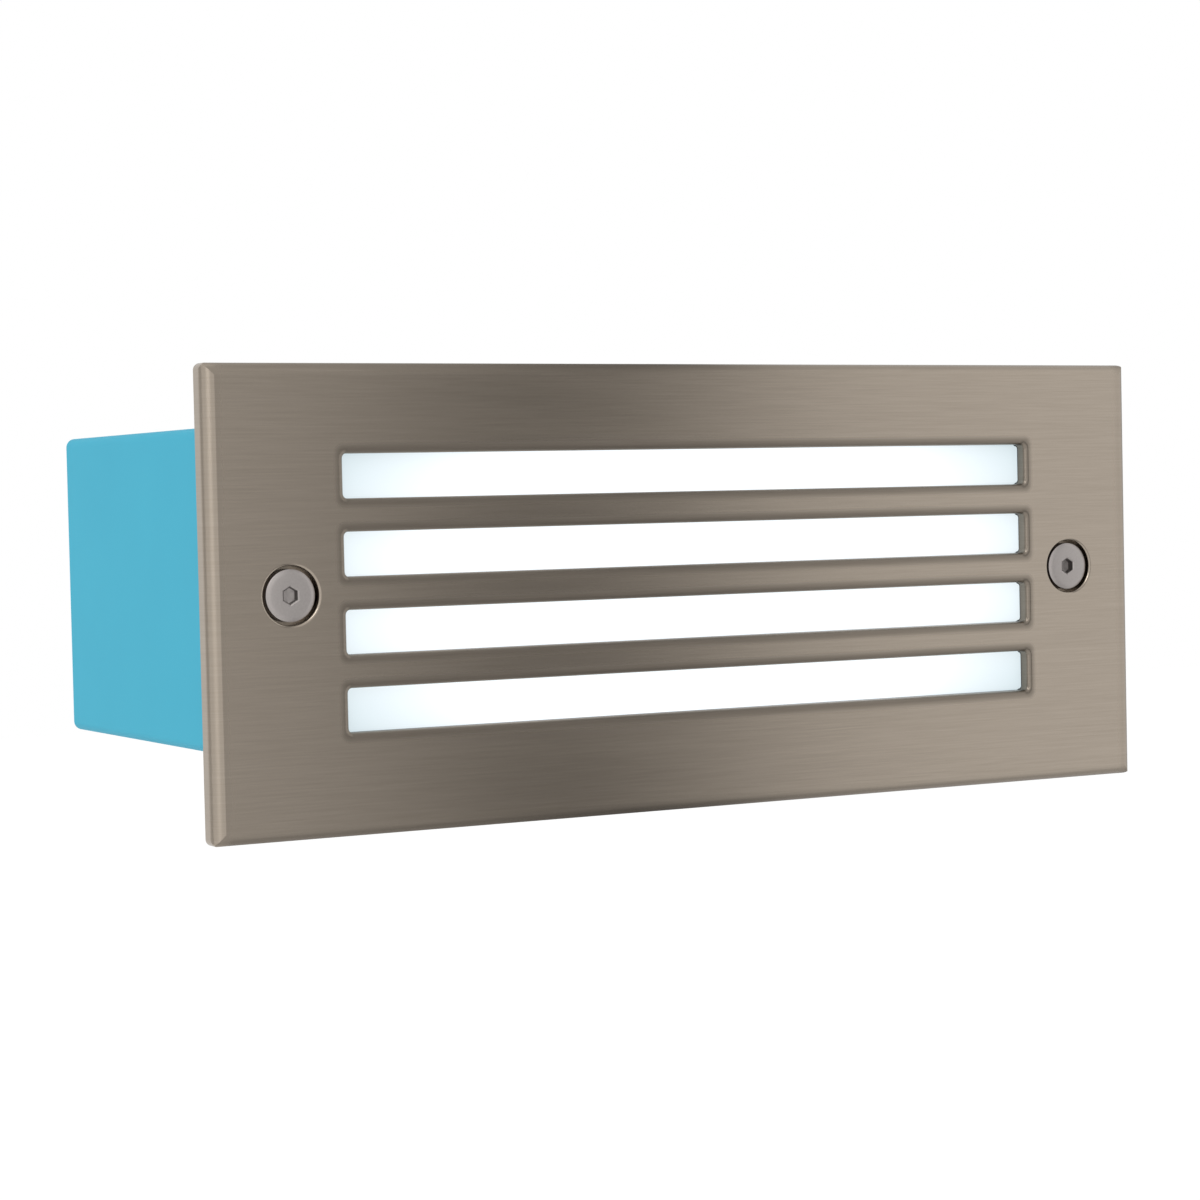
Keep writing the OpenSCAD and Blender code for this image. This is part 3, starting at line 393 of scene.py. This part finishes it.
# %% The lit lens and its chips
GLOW_HALF_WIDTH, GLOW_HALF_HEIGHT = 76, 45
GLOW_START, GLOW_END = 0.90, 1.30
OPAL_IOR, OPAL_ROUGHNESS = 1.58, 0.45
SILICONE_IOR, SILICONE_ROUGHNESS, CHIP_GLOW = 1.41, 0.25, 0.6
PHOSPHOR_GRAIN_MM = 0.5


def opal_lens():
    """A plastic that shines evenly and fades to a cooler white outside an oval."""
    material, tree = new_material("opal_polycarbonate")
    place = add(tree, "ShaderNodeTexCoord").outputs["Object"]
    oval = add(tree, "ShaderNodeMapping", {
        "Vector": place, "Scale": (1 / (GLOW_HALF_WIDTH * MM), 0, 1 / (GLOW_HALF_HEIGHT * MM)),
        "Location": (0, 0, -PATTERN_Z / GLOW_HALF_HEIGHT),
    })
    away = add(tree, "ShaderNodeVectorMath", {0: oval}, operation="LENGTH").outputs["Value"]
    fade = add(tree, "ShaderNodeMapRange", {"Value": away, "From Min": GLOW_START, "From Max": GLOW_END})
    glow = add(tree, "ShaderNodeMix", {
        "Factor": fade, "A": linear("#f8fcff"), "B": linear("#c1ced2"),
    }, data_type="RGBA").outputs["Result"]
    lens = add(tree, "ShaderNodeBsdfPrincipled", {
        "Emission Color": glow, "Emission Strength": 1.0,
        "Base Color": linear("#6f7a80"), "Roughness": OPAL_ROUGHNESS, "IOR": OPAL_IOR,
    })
    finish_with(tree, lens)
    return material


def phosphor():
    """The yellow silicone over a chip, with a little light of its own."""
    material, tree = new_material("led_phosphor")
    place = add(tree, "ShaderNodeTexCoord").outputs["Object"]
    grain = add(tree, "ShaderNodeTexNoise", {
        "Vector": place, "Scale": 1 / (PHOSPHOR_GRAIN_MM * MM), "Detail": GRAIN_DETAIL,
    })
    tint = add(tree, "ShaderNodeMix", {
        "Factor": grain, "A": linear("#f0da72"), "B": linear("#fbf0a0"),
    }, data_type="RGBA").outputs["Result"]
    chip = add(tree, "ShaderNodeBsdfPrincipled", {
        "Base Color": tint, "Roughness": SILICONE_ROUGHNESS, "IOR": SILICONE_IOR,
        "Emission Color": linear("#f2f7ff"), "Emission Strength": CHIP_GLOW,
    })
    finish_with(tree, chip)
    return material


OPAL = opal_lens()
PHOSPHOR = phosphor()
print("made", OPAL.name, PHOSPHOR.name)

# %% [markdown]
# Finishes for the CAD pieces
# The record names one material slot for each node. One table turns a slot into its finish, so a piece
# can't be forgotten: the loop reads every node of the record and stops if a slot has no finish.

# %% Finishes for the CAD pieces
FINISH = {
    "cover_steel": BRUSHED_STEEL, "screw_steel": SCREW_STEEL, "plated_steel": ZINC, "brass": BRASS,
    "blue_plastic": BLUE_BOX, "frosted_polycarbonate": OPAL, "black_rubber": RUBBER,
    "white_nylon": NYLON, "white_enamel": ENAMEL, "white_plastic": WHITE_ABS,
    "board_white": BOARD_WHITE, "led_phosphor": PHOSPHOR, "board_green": BOARD_GREEN,
    "ferrite": FERRITE, "capacitor_sleeve": SLEEVE, "brown_insulation": PVC_BROWN,
    "blue_insulation": PVC_BLUE, "red_insulation": PVC_RED, "black_insulation": PVC_BLACK,
}
for part in frame["record"]["subparts"]:
    piece = frame["nodes"][part["node"]]
    piece.data.materials.clear()
    piece.data.materials.append(FINISH[part["material_slot"]])

# %% [markdown]
# The outline of a cover screw
# Each is an M5 socket screw: a bevelled head with a 3 mm hexagon socket, on a shank 5 mm thick.
# It could be a cylinder with cuts, but a row of outline points, each a place along the screw and a reach
# from its middle, is easier to read. The last three are six-sided, so the socket grows out of the head.
# The seat stands a hair off its washer, because two faces in one plane flicker.

# %% The outline of a cover screw
SHANK_RADIUS = 2.5
THREAD_PITCH, THREAD_DEPTH = 0.8, 0.49
CORE_RADIUS = SHANK_RADIUS - THREAD_DEPTH
HEAD_HEIGHT, SEAT_CLEARANCE = 2.6, 0.01
TIP_CHAMFER, SEAT_CHAMFER = 0.5, 0.15
HEAD_BEVEL = ((0.36, 0.0), (0.12, 0.48), (0.03, 0.9), (0.0, 1.1))
SOCKET_HALF, SOCKET_MOUTH, SOCKET_CHAMFER = 1.5, 1.8, 0.28
SOCKET_WALL, SOCKET_POINT = 1.9, 2.2


def screw_outline(head, seat, tip, radius):
    """From the tip to the head and into the socket: place along Y, reach, and whether it is six-sided."""
    shank = [(tip, CORE_RADIUS - TIP_CHAMFER, False), (tip - TIP_CHAMFER, CORE_RADIUS, False),
             (seat, CORE_RADIUS, False)]
    rim = [(seat, radius - SEAT_CHAMFER, False), (seat - SEAT_CHAMFER, radius, False)]
    bevel = [(head + deep, radius - inset, False) for deep, inset in HEAD_BEVEL]
    socket = [(head, SOCKET_MOUTH, True), (head + SOCKET_CHAMFER, SOCKET_HALF, True),
              (head + SOCKET_WALL, SOCKET_HALF, True)]
    return shank + rim + bevel + socket


print("core of the thread:", 2 * CORE_RADIUS, "mm across")

# %% [markdown]
# Rings and ends
# The outline is spun into rings of points, joined by faces, and a fan of faces closes each end. Blender's
# screw modifier could spin it too, but it can't change from a circle to a hexagon on the way.

# %% Rings and ends
RING = 48


def hexagon(apothem, turn):
    """How far the side of a hexagon is from its middle, in the direction of turn."""
    sixth = math.pi / 3
    return apothem / math.cos((turn + sixth / 2) % sixth - sixth / 2)


def spin(outline, middle, socket_end):
    """The points and faces of an outline spun round the screw's middle and closed at both ends."""
    points, faces = [], []
    for y, size, six_sided in outline:
        for step in range(RING):
            turn = 2 * math.pi * step / RING
            reach = hexagon(size, turn) if six_sided else size
            points.append((middle.x + reach * math.cos(turn), y, middle.z + reach * math.sin(turn)))
    for row in range(len(outline) - 1):
        for step in range(RING):
            a, b = row * RING + step, row * RING + (step + 1) % RING
            faces.append((a, a + RING, b + RING, b))
    for row, y in ((0, outline[0][0]), (len(outline) - 1, socket_end)):
        points.append((middle.x, y, middle.z))
        hub = len(points) - 1
        for step in range(RING):
            a, b = row * RING + step, row * RING + (step + 1) % RING
            faces.append((a, b, hub) if row == 0 else (b, a, hub))
    return points, faces


print("points in a ring:", RING)

# %% [markdown]
# The thread
# A thread is a ramp, not a row of rings, so it is a ridge of its own, wound down the shank in steps and
# tapered at both ends. It stands a little into the core, so no gap shows under it.
# It is a right-handed thread: seen from the head it runs away clockwise, so a turn to the left backs it out.

# %% The thread
TURN_STEPS, TAPER_STEPS = 24, 12
CREST_HALF, ROOT_HALF = 0.06, 0.36
ROOT_SINK, RIDGE_SINK = 0.08, 0.02
RIDGE = 4


def wind_thread(points, faces, middle, start, stop):
    """Adds the ridge of a right-handed thread from start to stop along the shank."""
    steps = int((stop - start) / THREAD_PITCH * TURN_STEPS)
    first = len(points)
    for step in range(steps + 1):
        along = start + (stop - start) * step / steps
        turn = -2 * math.pi * (along - start) / THREAD_PITCH
        rise = THREAD_DEPTH * min(1, step / TAPER_STEPS, (steps - step) / TAPER_STEPS)
        ridge = ((-ROOT_HALF, -ROOT_SINK), (-CREST_HALF, rise), (CREST_HALF, rise), (ROOT_HALF, -ROOT_SINK))
        for lift, reach in ridge:
            out = CORE_RADIUS + reach - RIDGE_SINK
            points.append((middle.x + out * math.cos(turn), along + lift, middle.z + out * math.sin(turn)))
    for step in range(steps):
        for edge in range(RIDGE):
            a, b = first + RIDGE * step + edge, first + RIDGE * step + (edge + 1) % RIDGE
            faces.append((a, a + RIDGE, b + RIDGE, b))
    last = first + RIDGE * steps
    faces.append(tuple(range(first, first + RIDGE)))
    faces.append(tuple(reversed(range(last, last + RIDGE))))


print("thread steps in a turn:", TURN_STEPS)

# %% [markdown]
# The two cover screws
# Each screw takes its place and size from its CAD solid, which it stands for, and rides on the body that
# turns. Faces that meet at a shallow angle are shaded as one, so the bevel looks round and the socket crisp.

# %% The two cover screws
THREAD_START, THREAD_STOP = 1.2, 0.7
SHARP_DEGREES = 32


def cover_screw_mesh(name, side):
    """One screw as a mesh, in the place of its CAD solid."""
    low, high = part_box("cover_screw_" + side)
    middle = Vector(((low[0] + high[0]) / 2, 0, (low[2] + high[2]) / 2)) / MM
    head, tip = low[1] / MM, high[1] / MM
    radius = (high[0] - low[0]) / 2 / MM
    seat = head + HEAD_HEIGHT - SEAT_CLEARANCE
    points, faces = spin(screw_outline(head, seat, tip, radius), middle, head + SOCKET_POINT)
    wind_thread(points, faces, middle, seat + THREAD_START, tip - THREAD_STOP)
    mesh = bpy.data.meshes.new(name)
    mesh.from_pydata([tuple(c * MM for c in p) for p in points], [], faces)
    mesh.polygons.foreach_set("use_smooth", [True] * len(faces))
    mesh.set_sharp_from_angle(angle=math.radians(SHARP_DEGREES))
    return mesh


for side in ("left", "right"):
    name = "threaded_screw_" + side
    screw = bpy.data.objects.new(name, cover_screw_mesh(name, side))
    bpy.context.collection.objects.link(screw)
    screw.data.materials.append(SCREW_STEEL)
    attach(screw, side + "_screw")
    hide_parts("cover_screw_" + side)
    print(name, len(screw.data.polygons), "faces")

# %% [markdown]
# The white room
# The light stands in an even white room, so colours read as they are written. What the eye or a mirror
# sees of the room is full white, and what lights the object is a little less, so pale pieces don't clip.
# A room of walls and lamps could do this too, but it would throw more shadows than the portrait has.

# %% The white room
ROOM_LIGHT = 0.80
WHITE = grey(1)


def seen_or_mirrored(tree):
    """One where a ray comes from the eye, a mirror or clear plastic, and nought where it carries light."""
    path = add(tree, "ShaderNodeLightPath").outputs
    both = add(tree, "ShaderNodeMath", {0: path["Is Camera Ray"], 1: path["Is Glossy Ray"]},
               operation="MAXIMUM")
    return add(tree, "ShaderNodeMath", {0: both, 1: path["Is Transmission Ray"]}, operation="MAXIMUM")


def white_room():
    """A world of even white light."""
    world = bpy.data.worlds.new("white_room")
    world.use_nodes = True
    tree = world.node_tree
    tree.nodes.clear()
    shown = add(tree, "ShaderNodeBackground", {"Color": WHITE, "Strength": 1.0})
    light = add(tree, "ShaderNodeBackground", {"Color": WHITE, "Strength": ROOM_LIGHT})
    room = add(tree, "ShaderNodeMixShader", {0: seen_or_mirrored(tree), 1: light, 2: shown})
    add(tree, "ShaderNodeOutputWorld", {"Surface": room})
    return world


bpy.context.scene.world = white_room()
print("room light:", ROOM_LIGHT)

# %% [markdown]
# The pale floor
# The floor lies far below, as under a light held up in a studio, and is matt off-white paint. More lamps
# could lift it to white, but they would change the object too, so it has a small glow of its own, which
# shows where the floor is looked at and gives the object no light. The floor is then taken out of what
# metal mirrors, so that the white room and the card alone shape the steel.

# %% The pale floor
FLOOR_Z = -0.75
FLOOR_REACH = 9.0
FLOOR_LIFT = 0.30
CORNERS = ((-1, -1), (1, -1), (1, 1), (-1, 1))


def pale_floor():
    """A matt floor that looks a little lighter than its light makes it."""
    material, tree = new_material("pale_studio_floor")
    paint = add(tree, "ShaderNodeBsdfDiffuse", {"Color": linear("#f4f4f4")})
    amount = add(tree, "ShaderNodeMath", {0: seen_or_mirrored(tree), 1: FLOOR_LIFT}, operation="MULTIPLY")
    lift = add(tree, "ShaderNodeEmission", {"Color": WHITE, "Strength": amount})
    finish_with(tree, add(tree, "ShaderNodeAddShader", {0: paint, 1: lift}))
    return material


def sheet(name, points, material, faces=((0, 1, 2, 3),)):
    """A thin sheet for the studio: a floor or a flag of four corners, or a bent card of many."""
    mesh = bpy.data.meshes.new(name)
    mesh.from_pydata(points, [], faces)
    piece = bpy.data.objects.new(name, mesh)
    bpy.context.collection.objects.link(piece)
    piece.data.materials.append(material)
    return piece


floor = sheet("floor", [(x * FLOOR_REACH, y * FLOOR_REACH, FLOOR_Z) for x, y in CORNERS], pale_floor())
floor.visible_glossy = False
print("floor at", FLOOR_Z, "m")

# %% [markdown]
# The bent card
# A metal shows its room, not its own shade: the grille would be one flat tone in a plain white room.
# A tall graded card to its right, seen only in reflections, gives the dark band that brushed steel shows.
# A bend along the grille's edge mirrors what is above or below it. A flat card would let the white room
# in there and draw a bright outline, so the card is bent like a barrel round the light, open at the back.
# Along X it holds the dark band, and round the barrel it dims a little, which draws the soft dark edges.

# %% The greys of the card
CARD_GLOW = 1.10
ALONG = (
    (0.30, 0.72), (0.53, 0.66), (0.60, 0.56), (0.65, 0.50), (0.69, 0.38), (0.74, 0.24), (0.80, 0.20),
    (0.86, 0.24), (0.92, 0.38), (0.97, 0.58), (1.03, 0.82), (1.09, 0.94), (1.30, 1.00), (1.60, 1.00),
)
ROUND = (
    (-180, 0.52), (-75, 0.55), (-50, 0.88), (0, 0.95), (35, 1.00), (60, 1.00), (85, 0.80), (180, 0.78),
)


def greys(tree, value, stops):
    """A ramp through pairs of a value and its grey level."""
    low, high = stops[0][0], stops[-1][0]
    share = add(tree, "ShaderNodeMapRange", {"Value": value, "From Min": low, "From Max": high})
    ramp = add(tree, "ShaderNodeValToRGB", {"Fac": share})
    marks = ramp.color_ramp.elements
    for where, _ in stops[1:-1]:
        marks.new((where - low) / (high - low))
    for mark, (_, level) in zip(marks, stops):
        mark.color = grey(level)
    return ramp


def graded_card():
    """A card that gives off greys along X and round the barrel."""
    material, tree = new_material("graded_studio_card")
    place = add(tree, "ShaderNodeTexCoord").outputs["Object"]
    axes = add(tree, "ShaderNodeSeparateXYZ", {"Vector": place}).outputs
    front = add(tree, "ShaderNodeMath", {0: axes["Y"], 1: -1.0}, operation="MULTIPLY")
    turn = add(tree, "ShaderNodeMath", {0: axes["Z"], 1: front}, operation="ARCTAN2")
    degrees = add(tree, "ShaderNodeMath", {0: turn}, operation="DEGREES")
    shade = add(tree, "ShaderNodeVectorMath", {
        0: greys(tree, axes["X"], ALONG), 1: greys(tree, degrees, ROUND),
    }, operation="MULTIPLY")
    finish_with(tree, add(tree, "ShaderNodeEmission", {"Color": shade, "Strength": CARD_GLOW}))
    return material


print("stops along the card:", len(ALONG), "and round it:", len(ROUND))

# %% [markdown]
# The card and two flags in place
# The barrel is a row of flat strips, each ten degrees of the bend, which is fine enough for a blurred
# reflection. The flags are upright grey cloths behind the light on the left and right. They keep the white
# room out of the bends that look backwards. Neither the card nor a flag shows to the camera.

# %% The card and two flags in place
CARD_RADIUS, CARD_LEFT, CARD_RIGHT = 1.6, 0.30, 1.60
CARD_TURN, CARD_STEP = 160, 10
FLAG_SHADE = 0.62
FLAGS = {
    "flag_left": [(-1.0, 0.12, -0.7), (-1.0, 0.9, -0.7), (-1.0, 0.9, 0.9), (-1.0, 0.12, 0.9)],
    "flag_right": [(1.0, 0.12, -0.7), (1.0, 1.2, -0.7), (1.0, 1.2, 0.9), (1.0, 0.12, 0.9)],
}


def grey_flag():
    """A cloth that gives off one even grey."""
    material, tree = new_material("grey_studio_flag")
    finish_with(tree, add(tree, "ShaderNodeEmission", {"Color": grey(FLAG_SHADE)}))
    return material


def only_mirrored(piece):
    """Lets metal reflect a card, but lets it neither show, shade nor tint anything."""
    piece.visible_camera = False
    piece.visible_diffuse = False
    piece.visible_shadow = False
    piece.visible_transmission = False


rows = []
for degree in range(-CARD_TURN, CARD_TURN + 1, CARD_STEP):
    y, z = -CARD_RADIUS * math.cos(math.radians(degree)), CARD_RADIUS * math.sin(math.radians(degree))
    rows += [(CARD_LEFT, y, z), (CARD_RIGHT, y, z)]
strips = [(i, i + 1, i + 3, i + 2) for i in range(0, len(rows) - 2, 2)]
only_mirrored(sheet("graded_card", rows, graded_card(), strips))
FLAG_CLOTH = grey_flag()
for name, corners in FLAGS.items():
    only_mirrored(sheet(name, corners, FLAG_CLOTH))
print("card strips:", len(strips), "flags:", len(FLAGS))

# %% [markdown]
# Two soft lamps
# The white room lights every side alike, which leaves a flat picture. Two large weak lamps, one high in
# front on the left and one low behind it, add a slight direction and a soft shadow. A sun lamp would be
# simpler, but its shadows are hard. Each lamp is turned to face the middle of the light.

# %% Two soft lamps
LAMP_SIZE = 0.9
LAMPS = (("key_softbox", (-1.1, -1.0, 1.3), 9.0), ("fill_softbox", (-1.6, 0.6, 0.4), 5.0))
for name, spot, watts in LAMPS:
    lamp_data = bpy.data.lights.new(name, "AREA")
    lamp_data.shape = "SQUARE"
    lamp_data.size = LAMP_SIZE
    lamp_data.energy = watts
    lamp = bpy.data.objects.new(name, lamp_data)
    lamp.location = spot
    lamp.rotation_euler = Vector(spot).to_track_quat("Z", "Y").to_euler()
    bpy.context.collection.objects.link(lamp)
    print(name, watts, "W")

bpy.context.scene.view_settings.view_transform = "Standard"
